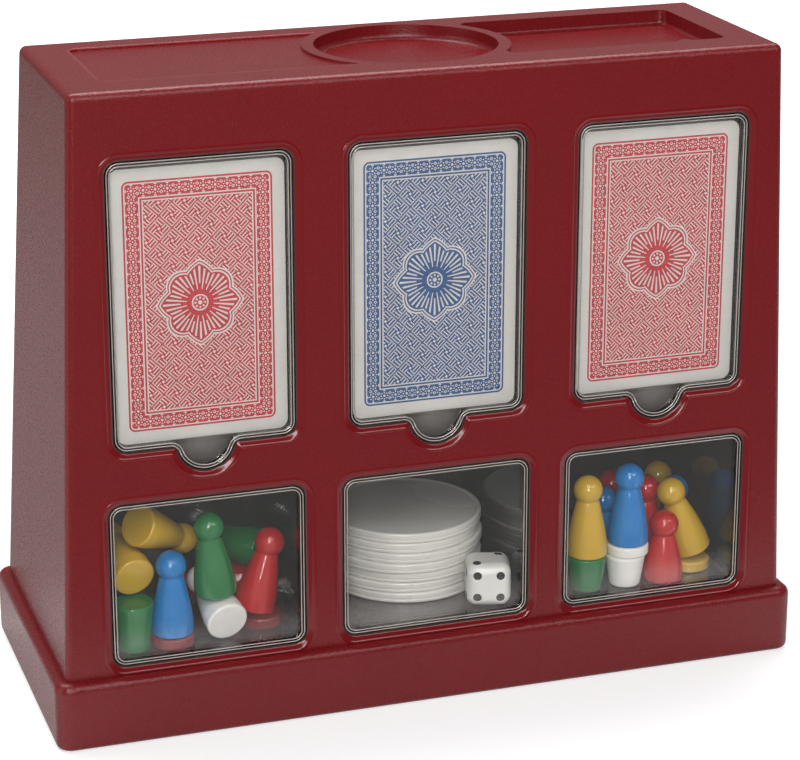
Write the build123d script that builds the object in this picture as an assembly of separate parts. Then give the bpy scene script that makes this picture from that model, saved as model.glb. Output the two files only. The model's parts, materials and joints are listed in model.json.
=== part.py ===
from build123d import *
import os
from math import atan2, degrees

# Playing card case: a red moulded case stands on a base and holds two rows of three
# clear trays behind windows in its front. The upper trays hold a deck each, the lower
# ones loose game pieces. Millimetres; X runs to the right, Y to the back, Z up, and the
# origin is the middle of the footprint on the table.

# ---- cards and loose pieces ----
card_width = 55.0
card_height = 88.0
card_corner = 3.0
card_thickness = 0.31
cards_per_deck = 54

pawn_width = 13.8
pawn_head_width = 9.9
pawn_neck_width = 7.4
pawn_height = 28.0
short_pawn_height = 24.5

counter_width = 14.4
counter_thickness = 3.8
cone_foot_share = 0.76
high_cone = 16.4
low_cone = 12.4
white_cone = 11.0

disc_width = 53.0
disc_thickness = 3.5
disc_count = 7
wall_play = 2.0
side_room = 6.0
disc_set_back = 12.6
room_behind = 8.8
corner_play = 0.4
touch = 0.05

die_size = 15.0
die_round = 3.2
pip_width = 3.0
pip_depth = 0.35
pip_spacing = 3.9

# ---- clear trays ----
tray_wall = 1.1
pane_thickness = 1.4
rim_width = 1.4
rim_proud = 1.1
rim_groove = 0.35
card_play = 0.4
card_headroom = 2.9
deck_front_gap = 1.0
deck_back_gap = 1.3
piece_tray_height = 54.1
tray_corner = 4.0

# ---- windows ----
tray_gap = 0.4
tray_set_back = 1.1
bevel_width = 2.1
bevel_depth = 0.9
notch_radius = 9.5
notch_depth = 8.5
notch_fillet = 2.5

# ---- case ----
case_wall = 2.5
bay_web = 13.5
side_margin = 13.65
row_gap = 13.1
top_margin = 19.5
window_sill = 0.3
space_behind_trays = 20.5
side_lean = 7.75
back_lean = 23.0
case_edge = 2.5

# ---- base ----
base_height = 23.0
base_overhang = 3.75
base_wall = 4.0
base_corner = 5.0
base_edge = 3.0
base_foot_edge = 2.0
deck_rise = 2.2

# ---- hollows in the top ----
dish_width = 59.5
dish_depth = 5.0
dish_fillet = 2.0
dish_offset = 2.0
dish_web = 4.0
pocket_depth = 5.0
pocket_corner = 3.0
pocket_fillet = 1.2
pocket_side_margin = 13.5
pocket_front_margin = 14.5
pocket_back_margin = 11.5
bump_width = 4.6
bump_from_end = 14.0
panel_depth = 0.8
panel_corner = 3.5

# ---- inner walls ----
liner_thickness = 2.0
liner_gap = 2.0
running_gap = 0.3
fit_gap = 0.15

# ---- screws ----
screw_shank = 3.0
screw_head = 6.0
screw_head_height = 1.7
screw_length = 10.0
screw_slot = 0.8
boss_width = 8.0
boss_length = 13.0
boss_from_end = 22.0
back_thickness = 3.0

# ---- worked out from the sizes above ----
deck_thickness = cards_per_deck * card_thickness
card_tray_width = card_width + 2 * (card_play + tray_wall)
card_tray_height = tray_wall + card_height + card_headroom
pane_setback = tray_set_back + rim_proud
card_tray_depth = rim_proud + pane_thickness + deck_front_gap + deck_thickness + deck_back_gap + tray_wall
pawn_row_width = 4.41 * pawn_width
piece_tray_width = max(disc_width + wall_play + side_room, pawn_row_width) + 2 * tray_wall
piece_tray_depth = rim_proud + pane_thickness + disc_set_back + disc_width + room_behind + tray_wall

hole_width = {"card": card_tray_width + 2 * tray_gap, "piece": piece_tray_width + 2 * tray_gap}
hole_height = {"card": card_tray_height + 2 * tray_gap, "piece": piece_tray_height + 2 * tray_gap}
tray_depth = {"card": card_tray_depth, "piece": piece_tray_depth}
hole_corner = tray_corner + tray_gap

bay_pitch = hole_width["card"] + 2 * bevel_width + bay_web
bay_x = {"left": -bay_pitch, "middle": 0.0, "right": bay_pitch}

lower_hole_z = base_height + window_sill + bevel_width
upper_hole_z = lower_hole_z + hole_height["piece"] + 2 * bevel_width + row_gap
hole_z = {"card": upper_hole_z, "piece": lower_hole_z}
case_height = upper_hole_z + hole_height["card"] + bevel_width + top_margin
body_height = case_height - base_height

body_half_width = bay_pitch + hole_width["piece"] / 2 + bevel_width + side_margin
body_depth = piece_tray_depth + space_behind_trays
front_y = -body_depth / 2
base_width = 2 * (body_half_width + base_overhang)
base_depth = body_depth + 2 * base_overhang

inner_front_y = front_y + case_wall
rim_y = front_y + tray_set_back
pane_y = front_y + pane_setback
pane_back_y = pane_y + pane_thickness
deck_y = pane_back_y + deck_front_gap
deck_top_z = base_height + deck_rise
shelf_top_z = upper_hole_z + tray_gap - running_gap
shelf_bottom_z = shelf_top_z - case_wall
liner_front_y = pane_back_y + running_gap
wall_top_z = upper_hole_z + hole_height["card"]
back_angle = degrees(atan2(back_lean, body_height))
floor_z = hole_z["piece"] + tray_gap + tray_wall
disc_x = piece_tray_width / 2 - tray_wall - wall_play - disc_width / 2
disc_y = pane_back_y + disc_width / 2 + disc_set_back
on_counter = counter_thickness + touch
lying = pawn_width / 2
corner_x = (tray_corner - piece_tray_width / 2) / pawn_width + 0.5
corner_y = (disc_set_back + disc_width + room_behind - corner_play) / pawn_width - 0.5
low_end = (Align.CENTER, Align.CENTER, Align.MIN)


def half_width(z):
    """Half the width of the body at height z."""
    return body_half_width - side_lean * (z - base_height) / body_height


def back_y(z):
    """Where the leaning back of the body is at height z."""
    return front_y + body_depth - back_lean * (z - base_height) / body_height


def box_between(x, y, z):
    """Block between pairs of coordinates."""
    block = Box(x[1] - x[0], y[1] - y[0], z[1] - z[0])
    return Pos((x[0] + x[1]) / 2, (y[0] + y[1]) / 2, (z[0] + z[1]) / 2) * block


def leaning_block(side, front, back, z):
    """The body's outline between two heights, each face moved in by its inset."""
    low, high = z
    wide = Plane.XZ * Polygon(
        (-half_width(low) + side, low),
        (half_width(low) - side, low),
        (half_width(high) - side, high),
        (-half_width(high) + side, high),
        align=None,
    )
    deep = Plane.YZ * Polygon(
        (front_y + front, low),
        (back_y(low) - back, low),
        (back_y(high) - back, high),
        (front_y + front, high),
        align=None,
    )
    reach = base_width + base_depth
    return extrude(wide, reach, both=True) & extrude(deep, reach, both=True)


def front_plane(kind, bay, y):
    """Upright plane facing forward, its origin at the middle of a window's lower edge."""
    return Plane(origin=(bay_x[bay], y, hole_z[kind]), x_dir=(1, 0, 0), z_dir=(0, -1, 0))


def window_outline(kind, margin):
    """Outline of a window hole grown by a margin; card windows have the finger notch."""
    width = hole_width[kind] + 2 * margin
    height = hole_height[kind] + 2 * margin
    outline = Pos(0, hole_height[kind] / 2) * RectangleRounded(width, height, hole_corner + margin)
    if kind == "card":
        outline += Pos(0, notch_radius - notch_depth) * Circle(notch_radius + margin)
        joins = [v for v in outline.vertices() if abs(v.Y + margin) < 0.01 and abs(v.X) < width / 4]
        outline = fillet(joins, notch_fillet - margin)
    return outline


def window_cutter(kind, bay):
    """Hole through the front wall with a shallow bevel round its outer edge."""
    hole = extrude(front_plane(kind, bay, inner_front_y) * window_outline(kind, 0), case_wall + 1, both=True)
    slope = degrees(atan2(bevel_width, bevel_depth))
    seat = front_plane(kind, bay, front_y + bevel_depth) * window_outline(kind, 0)
    return hole + extrude(seat, bevel_depth, taper=-slope)


def top_outlines():
    """Outlines of the dish, the pocket and the shallow panel in the top."""
    top_half = half_width(case_height)
    top_back = back_y(case_height)
    end_x = top_half - pocket_side_margin
    low_y = front_y + pocket_front_margin
    high_y = top_back - pocket_back_margin
    middle_y = (low_y + high_y) / 2
    dish = Pos(dish_offset, middle_y) * Circle(dish_width / 2)
    around = Pos(dish_offset, middle_y) * Circle(dish_width / 2 + dish_web)
    half_depth = (high_y - low_y) / 2
    right = Pos((dish_offset + end_x) / 2, middle_y) * Rectangle(end_x - dish_offset, 2 * half_depth)
    right -= around
    pocket = fillet(right.vertices(), pocket_corner)
    pocket -= Pos(end_x - bump_from_end, low_y) * Circle(bump_width / 2)
    left = Pos((dish_offset - end_x) / 2, middle_y) * Rectangle(end_x + dish_offset, 2 * half_depth)
    left -= around
    corners = left.vertices().sort_by(Axis.X)[:2]
    panel = fillet(corners, panel_corner)
    return dish, pocket, panel


def sunk(outline, depth, bottom_fillet):
    """Cutter for a hollow of a given depth in the top, rounded round its floor."""
    cutter = extrude(Pos(0, 0, case_height - depth) * outline, depth + 1)
    if bottom_fillet:
        floor_z_low = case_height - depth - 0.01
        floor_edges = cutter.edges().filter_by_position(Axis.Z, floor_z_low, floor_z_low + 0.02)
        cutter = fillet(floor_edges, bottom_fillet)
    return cutter


def boss_places():
    """Heights of the bosses that take the back panel's screws."""
    low = base_height + boss_from_end
    high = case_height - boss_from_end
    return [low, (low + high) / 2, high]


def back_frame(side, z):
    """Frame on the back panel's outer face at a boss, its Z axis pointing out of the case."""
    x = side * (half_width(z) - case_wall - boss_width / 2)
    return Pos(x, back_y(z), z) * Rot(back_angle - 90, 0, 0)


def foot_places():
    """Places of the screws that hold the body down on the base."""
    x = body_half_width - side_lean * 0.1 - case_wall - boss_width / 2
    front = inner_front_y + boss_width / 2
    rear = back_y(base_height) - case_wall - boss_width
    return [(sx * x, y) for sx in (-1, 1) for y in (front, rear)]


def case_shell():
    """Front, sides and top of the case in one moulding, open at the back and below."""
    body = leaning_block(0, 0, 0, (base_height, case_height))
    upright = [e for e in body.edges() if abs(e.center().Z - (base_height + case_height) / 2) < 1]
    rim = body.edges().filter_by_position(Axis.Z, case_height - 0.01, case_height + 0.01)
    body = fillet(upright + list(rim), case_edge)
    cavity = leaning_block(case_wall, case_wall, -case_wall, (base_height - 1, case_height - case_wall))
    shell = body - cavity
    dish, pocket, panel = top_outlines()
    under_roof = (case_height - top_margin, case_height - case_wall)
    roof = leaning_block(case_wall / 2, case_wall / 2, case_wall + back_thickness, under_roof)
    for outline, depth in ((dish, dish_depth), (pocket, pocket_depth)):
        pan_base = Pos(0, 0, case_height - depth - case_wall) * offset(outline, case_wall)
        pan = extrude(pan_base, depth + case_wall / 2)
        shell += pan & roof
    shell -= sunk(dish, dish_depth, dish_fillet)
    shell -= sunk(pocket, pocket_depth, pocket_fillet)
    shell -= sunk(panel, panel_depth, 0)
    for kind in ("card", "piece"):
        for bay in bay_x:
            shell -= window_cutter(kind, bay)
    inner_z = (base_height, case_height - case_wall / 2)
    within = leaning_block(case_wall / 2, case_wall / 2, back_thickness, inner_z)
    for z in boss_places():
        for side in (-1, 1):
            boss_end = -back_thickness - boss_length
            boss = Pos(0, 0, boss_end) * Cylinder(boss_width / 2, boss_length, align=low_end)
            boss += Pos(side * boss_width / 4, 0, boss_end) * Box(
                boss_width, boss_width, boss_length, align=low_end
            )
            shell += (back_frame(side, z) * boss) & within
    for x, y in foot_places():
        foot = Pos(x, y, deck_top_z) * Cylinder(boss_width / 2, boss_length, align=low_end)
        web = Pos(x + boss_width / 4 * (1 if x > 0 else -1), y, deck_top_z) * Box(
            boss_width, boss_width, boss_length, align=low_end
        )
        shell += (foot + web) & within
    for z in boss_places():
        for side in (-1, 1):
            pilot = Pos(0, 0, screw_head_height - back_thickness - screw_length) * Cylinder(
                screw_shank / 2, screw_length, align=low_end
            )
            shell -= back_frame(side, z) * pilot
    for x, y in foot_places():
        shell -= Pos(x, y, base_height - 1) * Cylinder(screw_shank / 2, screw_length + 1, align=low_end)
    return shell


def base_plinth():
    """Hollow base whose raised deck fits inside the case and carries the lower trays."""
    half_base = base_width / 2
    half_deep = base_depth / 2
    block = box_between((-half_base, half_base), (-half_deep, half_deep), (0, base_height))
    block = fillet(block.edges().filter_by(Axis.Z), base_corner)
    top = block.edges().filter_by_position(Axis.Z, base_height - 0.01, base_height + 0.01)
    block = fillet(top, base_edge)
    foot = block.edges().filter_by_position(Axis.Z, -0.01, 0.01)
    block = fillet(foot, base_foot_edge)
    deck_inset = case_wall + fit_gap
    block += leaning_block(deck_inset, deck_inset, back_thickness + fit_gap, (base_height, deck_top_z))
    block -= box_between(
        (-half_base + base_wall, half_base - base_wall),
        (-half_deep + base_wall, half_deep - base_wall),
        (-1, base_height - case_wall),
    )
    for x, y in foot_places():
        block -= Pos(x, y, 0) * Cylinder(screw_shank / 2 + fit_gap, deck_top_z + 1, align=low_end)
    return block


def back_panel():
    """Leaning panel that closes the back between the sides, screwed on from behind."""
    z = (base_height, case_height - case_wall - fit_gap)
    inside = leaning_block(case_wall + fit_gap, case_wall, 0, z)
    panel = inside - leaning_block(0, 0, back_thickness, (base_height - 1, case_height))
    for height in boss_places():
        for side in (-1, 1):
            frame = back_frame(side, height)
            panel -= frame * Pos(0, 0, -back_thickness - 1) * Cylinder(
                screw_shank / 2 + fit_gap, back_thickness + 2, align=low_end
            )
            panel -= frame * Pos(0, 0, -screw_head_height) * Cylinder(
                screw_head / 2 + fit_gap, screw_head_height + 2, align=low_end
            )
    return panel


def screw():
    """Pan screw pointing down its own axis, the top of its head at the origin."""
    head = Pos(0, 0, -screw_head_height) * Cylinder(screw_head / 2, screw_head_height, align=low_end)
    head = fillet(head.edges().filter_by_position(Axis.Z, -0.01, 0.01), screw_head_height / 3)
    slot = screw_head_height / 2
    head -= Pos(0, 0, -slot) * Box(screw_head * 0.6, screw_slot, slot + 1, align=low_end)
    head -= Pos(0, 0, -slot) * Box(screw_slot, screw_head * 0.6, slot + 1, align=low_end)
    shank = Pos(0, 0, -screw_head_height - screw_length + 1) * Cylinder(
        screw_shank / 2, screw_length - 1, align=low_end
    )
    return head + shank


def tray(kind, bay):
    """Clear open-topped box; its front is a pane inside a grooved rim, and its other walls
    stop where the rim's top corners begin to round, so that they pass through the window."""
    pane = front_plane(kind, bay, pane_back_y) * window_outline(kind, -tray_gap)
    front = extrude(pane, pane_thickness + rim_proud)
    sunk_pane = extrude(
        front_plane(kind, bay, pane_y) * window_outline(kind, -tray_gap - rim_width), rim_proud + 1
    )
    third = rim_width / 3
    groove = extrude(
        front_plane(kind, bay, rim_y + rim_groove)
        * (window_outline(kind, -tray_gap - third) - window_outline(kind, -tray_gap - 2 * third)),
        rim_groove + 1,
    )
    front = front - sunk_pane - groove
    width = hole_width[kind] - 2 * tray_gap
    low = hole_z[kind] + tray_gap
    high = low + hole_height[kind] - 2 * tray_gap
    left, right = bay_x[bay] - width / 2, bay_x[bay] + width / 2
    rear = rim_y + tray_depth[kind]
    box = box_between((left, right), (pane_back_y - 0.1, rear), (low, high + tray_corner))
    box = fillet(box.edges().filter_by(Axis.Y), tray_corner)
    hollow = box_between(
        (left + tray_wall, right - tray_wall),
        (pane_back_y, rear - tray_wall),
        (low + tray_wall, high + 2 * tray_corner),
    )
    hollow = fillet(hollow.edges().filter_by(Axis.Y), tray_corner - tray_wall)
    wall_top = high - tray_corner
    above = box_between((left - 1, right + 1), (pane_back_y - 1, rear + 1), (wall_top, 2 * high))
    return front + (box - hollow - above)


def deck_card(bay, index_from, count):
    """Cards lying face to face, from one place in the deck on."""
    outline = RectangleRounded(card_width, card_height, card_corner)
    y = deck_y + (index_from + count) * card_thickness
    z = hole_z["card"] + tray_gap + tray_wall + card_height / 2
    plane = Plane(origin=(bay_x[bay], y, z), x_dir=(1, 0, 0), z_dir=(0, -1, 0))
    return extrude(plane * outline, count * card_thickness)


def pawn(height):
    """Turned pawn standing on the origin: flared body, narrow neck, round head."""
    foot = pawn_width / 2
    neck = pawn_neck_width / 2
    head = pawn_head_width / 2
    edge = foot * 0.12
    head_z = height - head
    neck_z = head_z - (head**2 - neck**2) ** 0.5 + 0.01
    profile = Polyline((0, neck_z), (0, 0), (foot - edge, 0), (foot, edge), (foot * 0.99, neck_z * 0.22))
    side = ThreePointArc((foot * 0.99, neck_z * 0.22), (foot * 0.80, neck_z * 0.62), (neck, neck_z))
    close = Line((neck, neck_z), (0, neck_z))
    face = make_face(Plane.XZ * (profile + side + close))
    body = revolve(face, Axis.Z, 360)
    return body + Pos(0, 0, head_z) * Sphere(head)


def counter():
    """Thick round counter with softened edges."""
    blank = Cylinder(counter_width / 2, counter_thickness, align=low_end)
    return fillet(blank.edges(), counter_thickness * 0.2)


def cone_counter(height):
    """Tapered counter, wider at the top."""
    top = pawn_width / 2
    cone = Cone(top * cone_foot_share, top, height, align=low_end)
    return fillet(cone.edges(), top * 0.12)


def disc():
    """Flat disc with a raised rim on its edge."""
    blank = Cylinder(disc_width / 2, disc_thickness, align=low_end)
    return fillet(blank.edges(), disc_thickness * 0.22)


def die():
    """Die with rounded corners and hollow pips, opposite sides adding up to seven."""
    cube = Box(die_size, die_size, die_size)
    body = fillet(cube.edges(), die_round)
    body &= Sphere(die_size * 0.5 * 1.42)
    s = pip_spacing
    pips = {
        1: [(0, 0)],
        2: [(-s, -s), (s, s)],
        3: [(-s, -s), (0, 0), (s, s)],
        4: [(-s, -s), (-s, s), (s, -s), (s, s)],
        5: [(-s, -s), (-s, s), (0, 0), (s, -s), (s, s)],
        6: [(-s, -s), (-s, 0), (-s, s), (s, -s), (s, 0), (s, s)],
    }
    turns = {
        1: Rot(0, 90, 0),
        6: Rot(0, -90, 0),
        2: Rot(0, 0, 0),
        5: Rot(180, 0, 0),
        4: Rot(90, 0, 0),
        3: Rot(-90, 0, 0),
    }
    for number, turn in turns.items():
        for x, y in pips[number]:
            pip = Cylinder(pip_width / 2, pip_depth + 1, align=low_end)
            body -= turn * Pos(x, y, die_size / 2 - pip_depth) * pip
    return Pos(0, 0, die_size / 2) * body


def rested(piece, bay, x, y, z, lean=0.0, toward=0.0):
    """Piece put in a lower tray: x from the bay's middle and y from the pane, in pawn
    widths, z in millimetres above the tray's floor, leaning by an angle toward a
    direction that is counted from +X anticlockwise seen from above."""
    place = Pos(bay_x[bay] + x * pawn_width, pane_back_y + y * pawn_width, floor_z + z)
    return place * Rot(0, 0, toward) * Rot(0, lean, 0) * piece


parts = {}

parts["case_shell"] = case_shell()
parts["base_plinth"] = base_plinth()
parts["back_panel"] = back_panel()
parts["back_screws"] = Compound([back_frame(s, z) * screw() for z in boss_places() for s in (-1, 1)])
under_deck = base_height - case_wall - screw_head_height
parts["base_screws"] = Compound([Pos(x, y, under_deck) * Rot(180, 0, 0) * screw() for x, y in foot_places()])

# ---- inner walls between and behind the trays ----
wall_rows = {
    "lower": (piece_tray_width, rim_y + piece_tray_depth + running_gap, deck_top_z, shelf_bottom_z),
    "upper": (card_tray_width, rim_y + card_tray_depth + running_gap, shelf_top_z, wall_top_z),
}
for row, (tray_width, rear_y, low, high) in wall_rows.items():
    outer_x = bay_pitch + tray_width / 2 + liner_gap + liner_thickness / 2
    inner_x = bay_pitch / 2
    lines = {"outer_left": -outer_x, "inner_left": -inner_x, "inner_right": inner_x, "outer_right": outer_x}
    for side, x in lines.items():
        across = (x - liner_thickness / 2, x + liner_thickness / 2)
        parts[row + "_wall_" + side] = box_between(across, (liner_front_y, rear_y), (low, high))
    reach = outer_x + liner_thickness / 2
    parts[row + "_rear_wall"] = box_between((-reach, reach), (rear_y, rear_y + liner_thickness), (low, high))
    if row == "lower":
        parts["middle_shelf"] = box_between(
            (-reach, reach), (liner_front_y, rear_y + liner_thickness), (shelf_bottom_z, shelf_top_z)
        )

# ---- trays and decks ----
for bay in bay_x:
    parts["card_tray_" + bay] = tray("card", bay)
    parts["piece_tray_" + bay] = tray("piece", bay)
    parts["top_card_" + bay] = deck_card(bay, 0, 1)
    parts["deck_" + bay] = deck_card(bay, 1, cards_per_deck - 1)

# ---- what the lower trays hold ----
full_pawn = pawn(pawn_height)
short_pawn = pawn(short_pawn_height)

parts["left_green_cone"] = rested(cone_counter(high_cone), "left", -1.67, 0.545, 0)
parts["left_red_counter_front"] = rested(counter(), "left", -0.745, 0.56, 0)
parts["left_blue_pawn"] = rested(full_pawn, "left", -0.735, 0.57, on_counter)
parts["left_white_pawn"] = rested(full_pawn, "left", 0.50, 0.19, lying, 74, 98)
parts["left_green_pawn_front"] = rested(full_pawn, "left", 0.33, 0.59, 1.13 * pawn_width, 5, 190)
parts["left_red_counter_rear"] = rested(counter(), "left", 1.52, 1.06, 0)
parts["left_red_pawn_front"] = rested(full_pawn, "left", 1.34, 1.03, 0.42 * pawn_width, 15, 0)
parts["left_yellow_pawn_lower"] = rested(full_pawn, "left", -1.58, 0.68, 1.70 * pawn_width, 74, 98)
parts["left_yellow_pawn_upper"] = rested(full_pawn, "left", -1.42, 0.98, 2.885 * pawn_width, 118, 32)
parts["left_green_pawn_rear"] = rested(full_pawn, "left", 1.84, 2.05, 1.464 * pawn_width, 87, 143)
parts["left_red_pawn_lying"] = rested(full_pawn, "left", 1.62, 2.50, 0.529 * pawn_width, 95, 168)

parts["right_green_cone"] = rested(cone_counter(low_cone), "right", -1.42, 0.53, 0)
parts["right_yellow_pawn_on_cone"] = rested(full_pawn, "right", -1.42, 0.53, low_cone + touch)
parts["right_white_cone"] = rested(cone_counter(white_cone), "right", -0.40, 0.53, 0)
parts["right_white_counter"] = rested(counter(), "right", -0.34, 0.55, white_cone + touch)
parts["right_blue_pawn_on_counter"] = rested(full_pawn, "right", -0.33, 0.55, white_cone + touch + on_counter)
parts["right_red_pawn_front"] = rested(short_pawn, "right", 0.62, 0.525, 0)
parts["right_yellow_counter"] = rested(counter(), "right", 1.53, 1.01, 0)
parts["right_yellow_pawn_leaning"] = rested(full_pawn, "right", 1.61, 1.02, 0.471 * pawn_width, 21, 178)
parts["right_blue_pawn_corner"] = rested(full_pawn, "right", 1.56, 2.06, 0)
parts["right_red_counter"] = rested(counter(), "right", 0.587, 1.641, 0)
parts["right_red_pawn_middle"] = rested(full_pawn, "right", 0.587, 1.641, on_counter)
parts["right_blue_pawn_rear"] = rested(full_pawn, "right", -0.457, 1.91, 0)
parts["right_red_pawn_rear"] = rested(full_pawn, "right", 0.21, 2.91, 0)
parts["right_yellow_pawn_rear"] = rested(full_pawn, "right", 1.56, 3.09, 0)

parts["middle_die"] = rested(die(), "middle", 1.58, 0.63, 0, 0, -16)
parts["middle_white_pawn"] = rested(full_pawn, "middle", corner_x, corner_y, 0)
parts["middle_white_discs"] = Compound(
    [Pos(disc_x, disc_y, floor_z + n * (disc_thickness + touch)) * disc() for n in range(disc_count)]
)

os.makedirs("parts", exist_ok=True)
for name, shape in parts.items():
    export_step(shape, "parts/" + name + ".step")
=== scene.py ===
"""Looks of the playing card and game piece box: finishes for its moulded case, clear trays,
printed cards and screws, and smooth turned surfaces for the loose pieces in the trays."""

import json

import bpy
import numpy as np
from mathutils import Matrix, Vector


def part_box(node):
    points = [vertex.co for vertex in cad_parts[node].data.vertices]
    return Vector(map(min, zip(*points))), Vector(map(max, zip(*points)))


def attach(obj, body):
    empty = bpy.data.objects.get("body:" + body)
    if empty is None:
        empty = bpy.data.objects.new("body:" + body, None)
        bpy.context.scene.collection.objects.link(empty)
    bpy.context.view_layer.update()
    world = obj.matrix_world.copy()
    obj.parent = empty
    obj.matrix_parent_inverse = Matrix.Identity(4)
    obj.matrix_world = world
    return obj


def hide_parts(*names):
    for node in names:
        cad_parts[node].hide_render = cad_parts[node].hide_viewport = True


bl_info = {
    "name": "Card and game piece box",
    "version": (1, 0, 0),
    "blender": (4, 5, 0),
    "location": "3D View > Sidebar > Card Box",
    "description": "Finishes, loose pieces and stage of a card box with clear pull-out trays",
    "category": "Object",
}

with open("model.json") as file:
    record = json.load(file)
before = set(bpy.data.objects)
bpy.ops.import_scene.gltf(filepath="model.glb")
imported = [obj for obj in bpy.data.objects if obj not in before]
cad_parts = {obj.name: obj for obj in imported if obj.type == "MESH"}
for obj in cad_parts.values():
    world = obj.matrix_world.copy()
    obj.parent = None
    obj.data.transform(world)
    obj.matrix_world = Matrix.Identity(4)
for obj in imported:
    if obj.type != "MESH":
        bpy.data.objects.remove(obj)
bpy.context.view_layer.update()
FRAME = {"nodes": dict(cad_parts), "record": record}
NODES = FRAME["nodes"]
RECORD = FRAME["record"]
BODY_OF = {node: body for body, nodes in RECORD["behaviour"]["bodies"].items() for node in nodes}
SLOT_OF = {part["node"]: part["material_slot"] for part in RECORD["subparts"]}
MM = 0.001

# measures that the finishes and thin pieces follow, in millimetres
BAY_PITCH = 76.5
TRAY_GAP = 0.4
TRAY_CORNER = 4.0
NOTCH_DIP = 8.5
NOTCH_RADIUS = 9.5
NOTCH_FILLET = 2.5
PAWN_FOOT = 6.9
PAWN_EDGE = 0.828

# ---------------------------------------------------------------- material formulas


class Term:
    """A number that a material works out at each point, written as a formula of Math nodes."""

    def __init__(self, finish, socket):
        self.finish = finish
        self.socket = socket

    def _do(self, operation, *others):
        return self.finish.math(operation, self, *others)

    def __add__(self, other):
        return self._do("ADD", other)

    def __sub__(self, other):
        return self._do("SUBTRACT", other)

    def __rsub__(self, other):
        return self.finish.math("SUBTRACT", other, self)

    def __mul__(self, other):
        return self._do("MULTIPLY", other)

    def __truediv__(self, other):
        return self._do("DIVIDE", other)

    def __lt__(self, other):
        return self._do("LESS_THAN", other)

    def __gt__(self, other):
        return self._do("GREATER_THAN", other)

    def __and__(self, other):
        return self._do("MULTIPLY", other)

    def __or__(self, other):
        return self._do("MAXIMUM", other)

    def __abs__(self):
        return self._do("ABSOLUTE")

    def low(self, other):
        """The smaller of two numbers."""
        return self._do("MINIMUM", other)

    def high(self, other):
        """The larger of two numbers."""
        return self._do("MAXIMUM", other)

    def floor(self):
        return self._do("FLOOR")

    def part(self):
        """What is left of the number after its whole part."""
        return self._do("FRACT")

    def cosine(self):
        return self._do("COSINE")

    def angle(self, other):
        """Angle of the point (other, self), in radians."""
        return self._do("ARCTAN2", other)

    def length(self, other):
        """Distance of the point (self, other) from the origin."""
        return (self * self + other * other)._do("SQRT")

    def between(self, low, high):
        """1 where the number lies between two limits, and 0 elsewhere."""
        return (self > low) & (self < high)

    def choose(self, yes, no):
        """yes where this mask is 1, and no where it is 0."""
        return no + self * (yes - no)


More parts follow.
